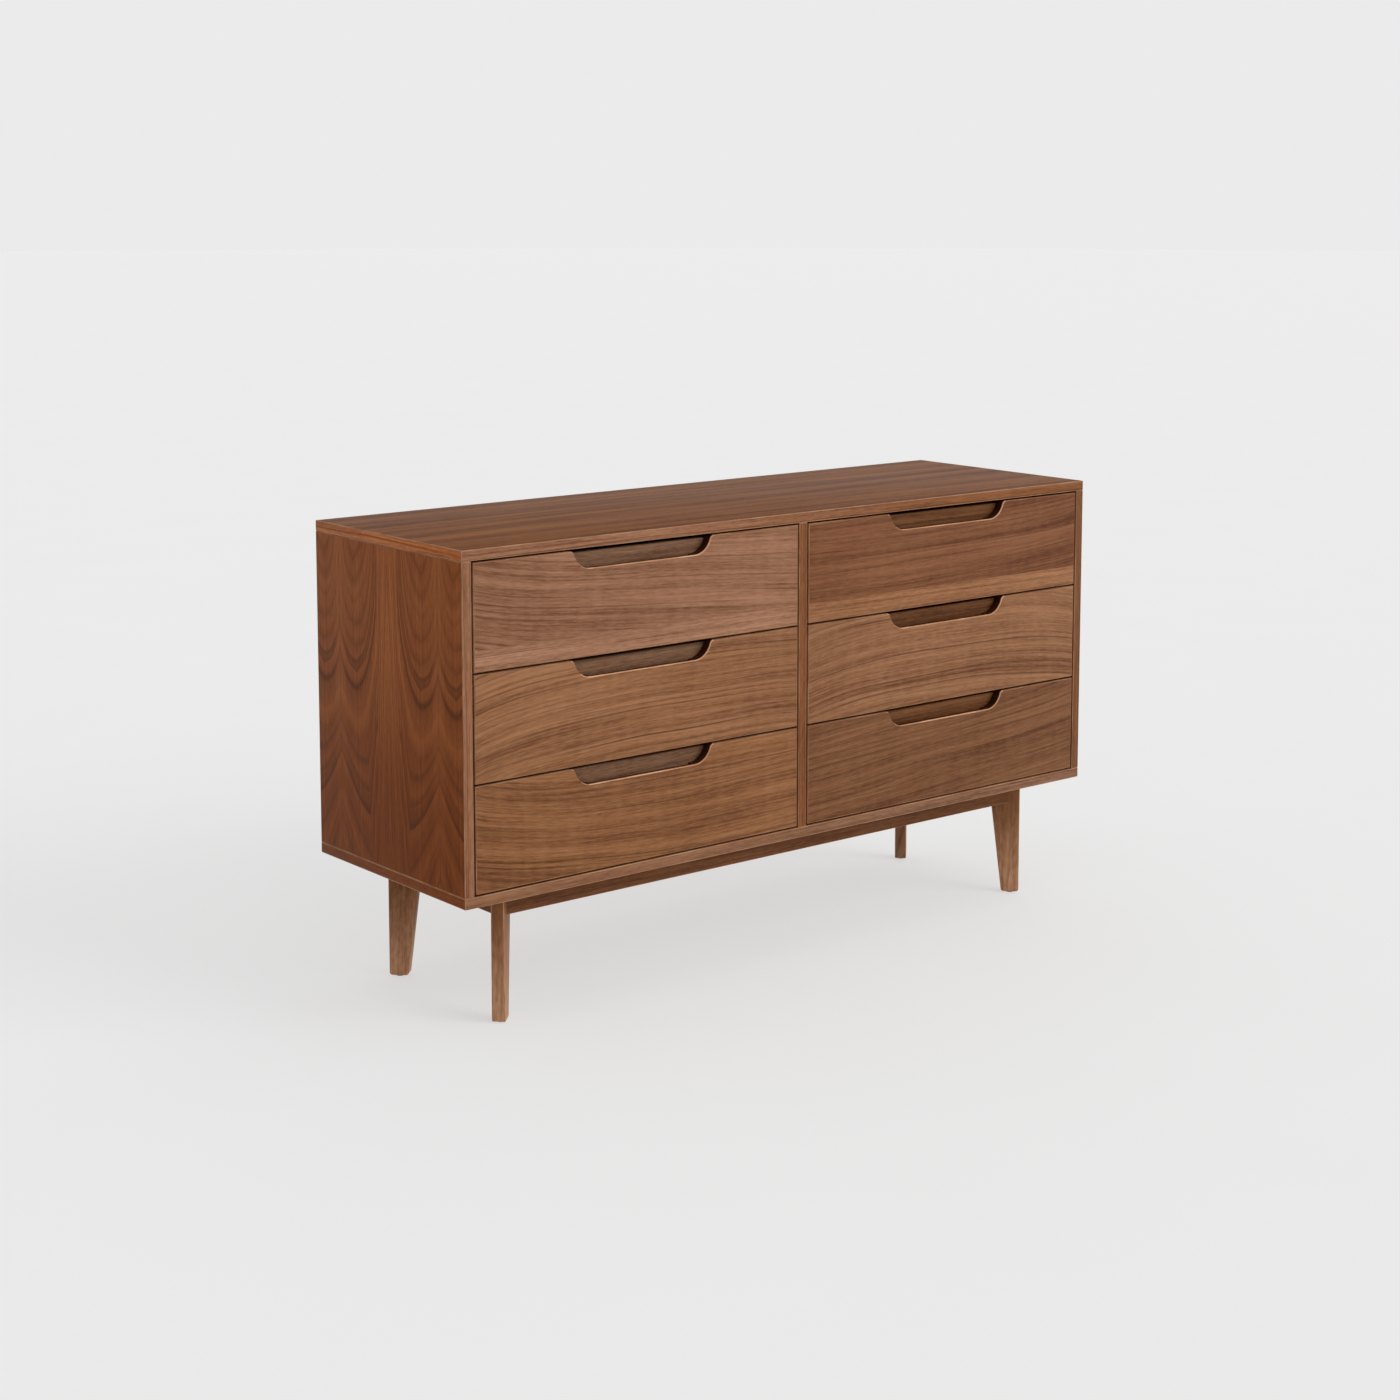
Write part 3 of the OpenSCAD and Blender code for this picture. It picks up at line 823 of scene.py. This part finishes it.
# Each front's veneer: the grain rises or falls at its ends by left_rise and right_rise, which fade out
# over left_reach and right_reach, tilts by slope and waves by swell. cloud is how dark its dark patch is,
# and strip the height of the plainer strip along its lower edge. Places and heights are in metres.
FRONTS = {
    "top_left": dict(
        seed=101.0, tint=(1.01, 1.08, 1.26), lines=112.0, contrast=1.13, line_strength=1.0, slope=0.060,
        left_rise=-0.024, left_reach=0.13, right_rise=0.0, right_reach=0.2, swell=0.016, strip=0.035,
        strip_tint=(1.20, 1.36, 1.66),
        cloud=0.25, cloud_x=0.10, cloud_z=0.100, cloud_w=0.30, cloud_h=0.022,
    ),
    "top_right": dict(
        seed=113.0, tint=(0.71, 0.63, 0.58), lines=118.0, contrast=1.39, line_strength=0.8, slope=0.0,
        left_rise=0.0, left_reach=0.2, right_rise=-0.022, right_reach=0.2, swell=0.014, strip=0.035,
        strip_tint=(1.13, 1.16, 1.12),
        cloud=0.45, cloud_x=0.05, cloud_z=0.095, cloud_w=0.50, cloud_h=0.034,
    ),
    "middle_left": dict(
        seed=127.0, tint=(0.95, 0.96, 0.90), lines=112.0, contrast=1.18, line_strength=1.1, slope=-0.010,
        left_rise=0.036, left_reach=0.15, right_rise=0.014, right_reach=0.12, swell=0.018, strip=0.0,
        cloud=0.25, cloud_x=-0.25, cloud_z=0.110, cloud_w=0.16, cloud_h=0.020,
    ),
    "middle_right": dict(
        seed=139.0, tint=(0.97, 1.00, 0.99), lines=112.0, contrast=0.80, line_strength=0.9, slope=0.0,
        left_rise=0.030, left_reach=0.14, right_rise=0.036, right_reach=0.16, swell=0.020, strip=0.0,
        cloud=0.40, cloud_x=0.06, cloud_z=0.140, cloud_w=0.26, cloud_h=0.010,
    ),
    "bottom_left": dict(
        seed=151.0, tint=(0.92, 0.90, 0.77), lines=108.0, contrast=1.10, line_strength=1.0, slope=0.0,
        left_rise=-0.052, left_reach=0.20, right_rise=-0.012, right_reach=0.2, swell=0.020, strip=0.0,
        cloud=0.40, cloud_x=-0.29, cloud_z=0.060, cloud_w=0.14, cloud_h=0.026,
    ),
    "bottom_right": dict(
        seed=163.0, tint=(0.70, 0.67, 0.61), lines=112.0, contrast=0.97, line_strength=0.8, slope=-0.050,
        left_rise=0.0, left_reach=0.2, right_rise=-0.014, right_reach=0.18, swell=0.024, strip=0.0,
        cloud=0.40, cloud_x=0.08, cloud_z=0.050, cloud_w=0.24, cloud_h=0.032,
    ),
}


def draw_line(x, z):
    """Draws on from the selected point, by this far across and up."""
    bpy.ops.mesh.extrude_region_move(TRANSFORM_OT_translate={"value": (x, 0.0, z)})


def draw_arc(centre, degrees, steps):
    """Draws on from the selected point round centre, clockwise as the front is seen."""
    bpy.ops.mesh.spin(steps=steps, angle=-math.radians(degrees), center=centre, axis=(0.0, 1.0, 0.0))


def drawer_front_board(low, high, finishes):
    """A front with its finger pull: the outline is drawn with lines and arcs, then given its thickness."""
    middle = (low.x + high.x) / 2
    half = 107.0 * MM
    pull_floor = high.z - 30.0 * MM
    corner = 34.0 * MM
    flare = 8.0 * MM
    lip = 9.0 * MM
    hook = 8.0 * MM
    corner_z = pull_floor + corner
    flare_z = high.z - flare
    turn_x = math.sqrt((corner + flare) ** 2 - (corner_z - flare_z) ** 2)
    arc = math.degrees(math.acos((corner_z - flare_z) / (corner + flare)))
    pull_half = half + turn_x
    deselect()
    bpy.ops.mesh.primitive_plane_add(size=1.0)
    board = bpy.context.active_object
    edit(board)
    bpy.ops.mesh.select_mode(type="VERT")
    bpy.ops.mesh.select_all(action="SELECT")
    bpy.ops.mesh.merge(type="CENTER")
    bpy.ops.transform.translate(value=(middle + pull_half, low.y, high.z))
    draw_arc((middle + pull_half, low.y, flare_z), -arc, 5)
    draw_arc((middle + half, low.y, corner_z), arc, 14)
    draw_line(-2 * half, 0.0)
    draw_arc((middle - half, low.y, corner_z), arc, 14)
    draw_arc((middle - pull_half, low.y, flare_z), -arc, 5)
    draw_line(low.x - middle + pull_half, 0.0)
    draw_line(0.0, low.z - high.z)
    draw_line(high.x - low.x, 0.0)
    draw_line(0.0, high.z - low.z)
    draw_line(middle + pull_half - high.x, 0.0)
    bpy.ops.mesh.select_all(action="SELECT")
    bpy.ops.mesh.remove_doubles(threshold=0.00001)
    bpy.ops.mesh.select_all(action="SELECT")
    bpy.ops.mesh.edge_face_add()
    bpy.ops.mesh.select_all(action="SELECT")
    bpy.ops.mesh.extrude_region_move(TRANSFORM_OT_translate={"value": (0.0, high.y - low.y, 0.0)})
    bpy.ops.mesh.select_all(action="SELECT")
    bpy.ops.mesh.normals_make_consistent(inside=False)
    done()
    dress(board, *finishes)
    hook_z = pull_floor - hook
    groove_low = (middle - half, low.y + lip, hook_z)
    groove_high = (middle + half, high.y + lip, pull_floor + lip)
    groove = block("finger_groove", groove_low, groove_high)
    ease(groove, hook - 0.2 * MM, lambda edge: lies_on(edge, Z, hook_z) and span(edge, Y) > MM, 8, 0)
    cut(board, groove)
    ease(board, 1.7 * MM, lambda edge: lies_on(edge, Y, low.y) and sharp(edge), 4)
    ease(board, 0.5 * MM, lambda edge: lies_on(edge, Y, high.y) and sharp(edge), 2)

    veneer_slot, arris_slot, routed_slot, lip_highlight_slot = range(4)
    shade_side = 0.12

    def in_pull(face):
        inside = abs(face.center.x - middle) < pull_half and face.center.z > hook_z - MM
        return inside and face.center.z < high.z - 0.1 * MM

    def routed(face):
        return in_pull(face) and face.material_index == veneer_slot and abs(face.normal.y) < 0.5

    def rounded(face):
        return in_pull(face) and face.material_index == arris_slot and face.center.y < low.y + lip

    def lip_top(face):
        return routed(face) and face.normal.z > 0.98 and face.center.y < low.y + lip

    # Painted highlight: the floor of the pull and the rounded faces along it and at its right-hand end take
    # the pale lip finish; those at its left-hand end keep the veneer.
    paint(board, lip_highlight_slot, lambda face: rounded(face) and face.normal.x < shade_side)
    paint(board, veneer_slot, lambda face: rounded(face) and face.normal.x > shade_side)
    paint(board, lip_highlight_slot, lip_top)
    # Painted shade: the routed walls of the pull take the dark finish.
    paint(board, routed_slot, routed)
    return board


def box_board(name, low, high, rounded_top, groove=None):
    """A board of the drawer box, round along its top edge."""
    board = block(name, low, high)
    ease(board, rounded_top, lambda edge: lies_on(edge, Z, high.z) and sharp(edge), 5, 0)
    ease(board, 0.5 * MM, lambda edge: lies_on(edge, Z, low.z) and sharp(edge), 2, 0)
    if groove:
        cut(board, block("groove", *groove))
    return smooth(board)


def pan_head_screw(name, centre, direction, head=8.0 * MM):
    """A pan-head screw with a cross recess; direction is the axis and side that its head faces."""
    axis, side = direction
    height = 2.4 * MM
    recess = 1.4 * MM
    arm = 2.2 * MM
    half_slot = 0.45 * MM
    screw = rod(name, (0.0, 0.0, height / 2), head / 2, height)
    ease(screw, 1.5 * MM, lambda edge: lies_on(edge, Z, height) and sharp(edge), 5, 0)
    for turn in (0.0, math.pi / 2):
        slot = block("slot", (-arm, -half_slot, height - recess), (arm, half_slot, height + MM))
        slot.rotation_euler = (0.0, 0.0, turn + 0.4)
        settle(slot)
        cut(screw, slot)
    facing = {"x": (0.0, side * math.pi / 2, 0.0), "y": (-side * math.pi / 2, 0.0, 0.0)}[axis]
    screw.rotation_euler = facing
    screw.location = centre
    settle(screw)
    return smooth(screw, 40.0)


def channel(name, back_x, lip_x, low, high, steel, curl):
    """A runner member: a folded strip, curled over along both free edges when curl is given, with its folds
    rounded.
    """
    deselect()
    bpy.ops.mesh.primitive_plane_add(size=1.0, rotation=(0.0, math.pi / 2, 0.0))
    bpy.ops.object.transform_apply(location=False, rotation=True, scale=False)
    member = bpy.context.active_object
    member.name = name
    side = 1.0 if lip_x > back_x else -1.0
    web_x = back_x + side * steel / 2
    height = high.z - low.z - steel
    member.scale = (1.0, high.y - low.y, height)
    member.location = (web_x, (low.y + high.y) / 2, (low.z + high.z) / 2)
    settle(member)
    edit(member)
    reach = abs(lip_x - web_x) - steel / 2
    middle_z = (low.z + high.z) / 2
    for level, sign in ((middle_z - height / 2, 1.0), (middle_z + height / 2, -1.0)):
        pick(member, "EDGE", lambda edge: lies_on(edge, Z, level) and lies_on(edge, X, web_x))
        bpy.ops.mesh.extrude_region_move(TRANSFORM_OT_translate={"value": (side * reach, 0.0, 0.0)})
        if curl:
            bpy.ops.mesh.extrude_region_move(TRANSFORM_OT_translate={"value": (0.0, 0.0, sign * curl)})
    bpy.ops.mesh.select_all(action="SELECT")
    bpy.ops.mesh.normals_make_consistent(inside=False)
    bend = 2.2 * MM
    pick(member, "EDGE", lambda edge: sharp(edge, 60.0))
    bpy.ops.mesh.bevel(offset=bend, segments=5, profile=0.5, affect="EDGES", clamp_overlap=True)
    done()
    take(member)
    wall = member.modifiers.new("wall", "SOLIDIFY")
    wall.thickness = steel
    wall.offset = 0.0
    bpy.ops.object.modifier_apply(modifier=wall.name)
    return smooth(member, 40.0)


def build_runners(steel, screw_steel):
    """Both members of every runner, their screws, and the ball cage that rides between them."""
    steel_t = 1.5 * MM
    outer_h = 45.0 * MM
    deep = 10.0 * MM
    side_space = 13.0 * MM
    cage_in = 6.0 * MM
    cage_back = 8.0 * MM
    screw_step = 14.0 * MM
    outers = []
    cages = []
    screws = []
    master_screw = pan_head_screw("runner_screw", (0.0, 0.0, 0.0), ("x", 1.0), 6.6 * MM)
    master_cage = ball_cage()
    for drawer in DRAWERS:
        low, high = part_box(drawer + "_drawer_runners")
        middle_z = (low.z + high.z) / 2
        inners = []
        inner_screws = []
        for side in (-1.0, 1.0):
            box_x = low.x + deep if side < 0 else high.x - deep
            lip_x = low.x if side < 0 else high.x
            inner = channel("inner", box_x, lip_x, low, high, steel_t, 0.0)
            inners.append(inner)
            wall_x = box_x + side * side_space
            lip_outer = wall_x - side * deep
            bottom = Vector((0.0, low.y, middle_z - outer_h / 2))
            top = Vector((0.0, high.y, middle_z + outer_h / 2))
            outers.append(channel("outer", wall_x, lip_outer, bottom, top, steel_t, 2.6 * MM))
            mirror = side > 0
            cage_spot = (box_x + side * cage_in, low.y + cage_back, middle_z)
            cages.append(copy(master_cage, "cage", cage_spot))
            for along in (0.12, 0.46, 0.86):
                y = low.y + (high.y - low.y) * along
                screws.append(copy(master_screw, "screw", (wall_x - side * steel_t, y, middle_z), mirror))
                spot = (box_x + side * steel_t, y + screw_step, middle_z)
                inner_screws.append(copy(master_screw, "screw", spot, not mirror))
        body = drawer + "_drawer"
        pair = dress(join("runners_" + drawer, inners), steel)
        put(pair, body, "runner_steel", body + "_runners")
        fixings = dress(join("runner_screws_" + drawer, inner_screws), screw_steel)
        put(fixings, body, "screw_steel")
    put(dress(join("runners_case", outers), steel), "case", "runner_steel", "case_runners")
    put(dress(join("runner_cages", cages), steel), "case", "runner_steel")
    put(dress(join("runner_screws_case", screws), screw_steel), "case", "screw_steel")
    bpy.data.objects.remove(master_screw)
    bpy.data.objects.remove(master_cage)


def ball_cage():
    """Two rows of steel balls, each in a flat strip, centred on the origin at its front end."""
    ball = 1.9 * MM
    row = 19.0 * MM
    length = 76.0 * MM
    half_width = 2.2 * MM
    half_steel = 0.4 * MM
    first_ball = 6.0 * MM
    pitch = 9.2 * MM
    parts = []
    for side in (-1.0, 1.0):
        level = side * row
        low = (-half_width, 0.0, level - half_steel)
        high = (half_width, length, level + half_steel)
        strip = block("strip", low, high)
        ease(strip, 0.3 * MM, segments=2, material=0)
        parts.append(strip)
        for step in range(8):
            centre = (0.0, first_ball + step * pitch, level)
            bpy.ops.mesh.primitive_uv_sphere_add(segments=16, ring_count=10, radius=ball, location=centre)
            bead = bpy.context.active_object
            settle(bead)
            bpy.ops.object.shade_smooth()
            parts.append(bead)
    return join("ball_cage", parts)


def build_drawers(screw_steel):
    """One of each board is modelled in the first drawer's place, then copied to all six drawers."""
    plain = dict(lines=90.0, contrast=0.7, line_strength=0.5, bow=0.012)
    box_wood = {
        "box_front": straight_walnut("box_front_walnut", "x", 70.0, (0.80, 0.95, 1.12), **plain),
        "box_back": straight_walnut("box_back_walnut", "x", 73.0, (0.80, 0.80, 0.78), **plain),
        "box_left_side": straight_walnut("box_side_walnut", "y", 76.0, (0.80, 0.80, 0.78), **plain),
        "box_bottom": straight_walnut(
            "drawer_bottom_ply", "x", 79.0, (1.15, 1.22, 1.28), 60.0, 0.7, 0.4, 0.02
        ),
    }
    box_wood["box_right_side"] = box_wood["box_left_side"]
    # Painted shade: a darker copy of the box front walnut for the right-hand drawers, whose box fronts are
    # painted as lying in deeper shade.
    painted_shade_box_front = straight_walnut(
        "painted_shade_box_front_walnut", "x", 71.0, (0.65, 0.58, 0.42), 90.0, 1.1, 0.9, 0.012
    )
    arris = worn_and_highlit_arris("front_arris", "x", 83.0, (0.74, 0.70, 0.66))
    # Painted shade: the routed walls inside the finger pull are nearly black, as they stand in shadow.
    routed = straight_walnut("routed_edge_painted_shade", "y", 85.0, (0.20, 0.13, 0.10), 120.0, 0.7, 0.5, 0.004)
    first = DRAWERS[0] + "_drawer_"
    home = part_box(first + "front")[0]
    # Painted highlight: a much paler edge finish for the pull's floor and its lit rounded edges.
    lip = worn_and_highlit_arris("pull_lip_painted_highlight", "x", 84.0, (1.55, 1.60, 1.65))
    master_front = drawer_front_board(*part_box(first + "front"), (arris, arris, routed, lip))
    groove_low, groove_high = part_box(first + "box_bottom")
    groove = (groove_low - Vector((PLAY, 0.0, 0.0)), groove_high + Vector((PLAY, MM, PLAY)))
    masters = {}
    for part in BOX_PIECES:
        low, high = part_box(first + part)
        grooved = part in ("box_front", "box_left_side", "box_right_side")
        rounded = 0.6 * MM if part == "box_bottom" else 2.6 * MM
        masters[part] = box_board("master_" + part, low, high, rounded, groove if grooved else None)
    inner_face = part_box(first + "box_front")[1].y
    low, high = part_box(first + "box_front")
    middle = (low.x + high.x) / 2
    from_end = 70.0 * MM
    from_middle = 60.0 * MM
    screw_z = low.z + 45.0 * MM
    screw_places = (low.x + from_end, high.x - from_end, middle - from_middle, middle + from_middle)
    facing = ("y", 1.0)
    master_screws = [pan_head_screw("front_screw", (x, inner_face, screw_z), facing) for x in screw_places]
    fixings = join("master_screws", master_screws)
    for drawer in DRAWERS:
        body = drawer + "_drawer"
        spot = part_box(body + "_front")[0]
        shift = spot - home
        look = FRONTS[drawer]
        middle = (spot.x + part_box(body + "_front")[1].x) / 2
        face = front_veneer("veneer_" + drawer, middle, spot.z, look)
        board = copy(master_front, "front_" + drawer, shift)
        dress(board, face, arris, routed, lip)
        put(smooth(board, 30.0), body, "front_veneer", body + "_front")
        for part in BOX_PIECES:
            piece = copy(masters[part], part + "_" + drawer, shift)
            # The right-hand drawers' box fronts take the painted shade.
            dark = part == "box_front" and drawer.endswith("right")
            dress(piece, painted_shade_box_front if dark else box_wood[part])
            slot = "bottom_ply" if part == "box_bottom" else "box_walnut"
            put(piece, body, slot, f"{body}_{part}")
        screws = copy(fixings, "front_screws_" + drawer, shift)
        put(dress(screws, screw_steel), body, "screw_steel")
    for master in (master_front, fixings, *masters.values()):
        bpy.data.objects.remove(master)


def finish_pins():
    """The dowels and the base screws keep their shapes and get their finishes."""
    beech = pale_wood("beech_dowel", "z", 91.0, (0.62, 0.44, 0.27), (0.48, 0.31, 0.17))
    steel = zinc_steel("base_screw_steel", (0.9, 0.88, 0.75), 93.0)
    for node, finish in (("dowels", beech), ("base_screws", steel)):
        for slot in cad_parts[node].material_slots:
            slot.material = finish


lay_floor()
light_room()
set_camera()
build_case()
build_base()
build_glides()
runner_steel = zinc_steel("runner_steel", (1.0, 1.0, 1.0), 95.0)
fixing_steel = zinc_steel("fixing_steel", (0.92, 0.90, 0.82), 97.0)
build_runners(runner_steel, fixing_steel)
build_drawers(fixing_steel)
finish_pins()
